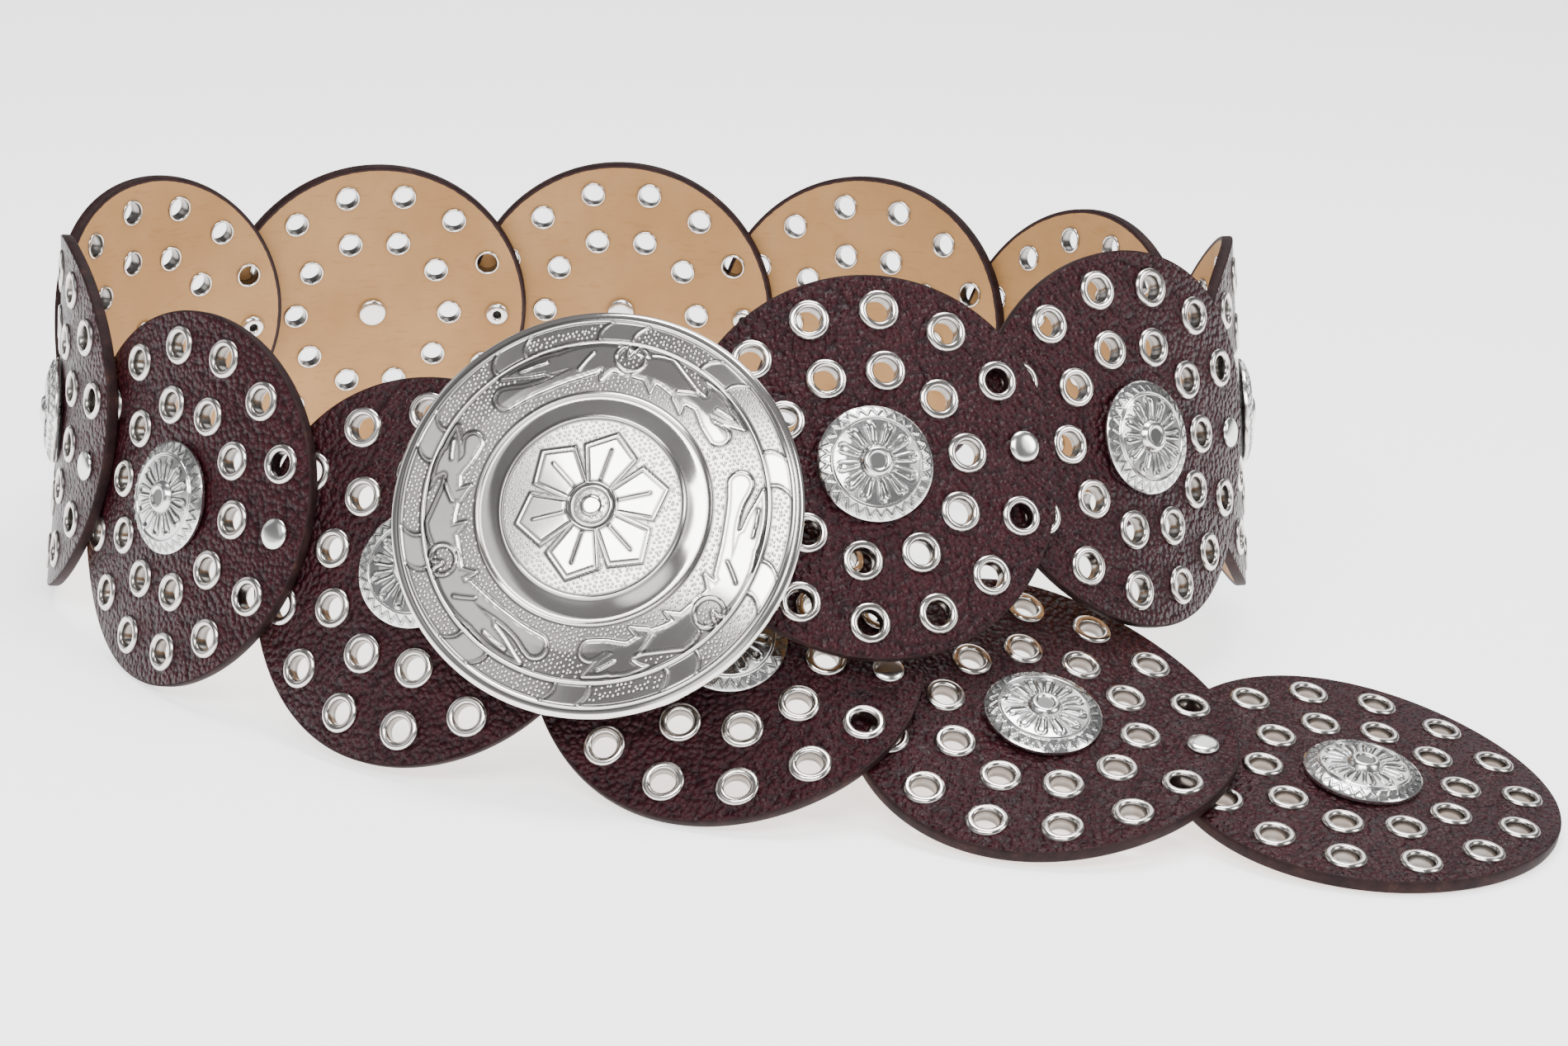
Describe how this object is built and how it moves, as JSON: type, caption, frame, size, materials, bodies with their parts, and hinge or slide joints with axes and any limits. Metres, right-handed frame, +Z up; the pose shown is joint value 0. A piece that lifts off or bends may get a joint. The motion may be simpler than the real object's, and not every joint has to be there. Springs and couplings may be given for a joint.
{
  "type": "concho belt",
  "caption": "Concho belt of overlapped round leather discs riveted in a chain, each with a domed concho, hooked shut by a round plate buckle and standing on its edge.",
  "frame": {"origin": "on the surface that the belt stands on, under the middle of its bounding box", "axes": "+Z up, +X to the right and +Y away from the viewer in the picture's view"},
  "size_m": [0.415, 0.3222, 0.1222],
  "materials": {
    "leather": "dark oxblood pebbled leather, tan on the flesh side, with dark painted edges",
    "concho_silver": "antiqued silver plate with dark hollows",
    "buckle_silver": "antiqued silver plate, polished on its raised rings",
    "nickel": "bright nickel plate"
  },
  "bodies": {
    "root": {"leather_disc_01": "leather", "leather_disc_02": "leather", "leather_disc_03": "leather", "leather_disc_04": "leather", "leather_disc_05": "leather", "leather_disc_06": "leather", "leather_disc_07": "leather", "leather_disc_08": "leather", "leather_disc_09": "leather", "leather_disc_10": "leather", "leather_disc_11": "leather", "leather_disc_12": "leather", "leather_disc_13": "leather", "leather_disc_14": "leather", "concho_01": "concho_silver", "concho_02": "concho_silver", "concho_03": "concho_silver", "concho_04": "concho_silver", "concho_05": "concho_silver", "concho_06": "concho_silver", "concho_07": "concho_silver", "concho_08": "concho_silver", "concho_09": "concho_silver", "concho_10": "concho_silver", "concho_11": "concho_silver", "concho_12": "concho_silver", "concho_13": "concho_silver", "concho_14": "concho_silver", "disc_rivet_01": "nickel", "disc_rivet_02": "nickel", "disc_rivet_03": "nickel", "disc_rivet_04": "nickel", "disc_rivet_05": "nickel", "disc_rivet_06": "nickel", "disc_rivet_07": "nickel", "disc_rivet_08": "nickel", "disc_rivet_09": "nickel", "disc_rivet_10": "nickel", "disc_rivet_11": "nickel", "disc_rivet_12": "nickel", "disc_rivet_13": "nickel", "tab_rivet": "nickel", "buckle": "buckle_silver", "buckle_tab": "leather"}
  },
  "joints": []
}
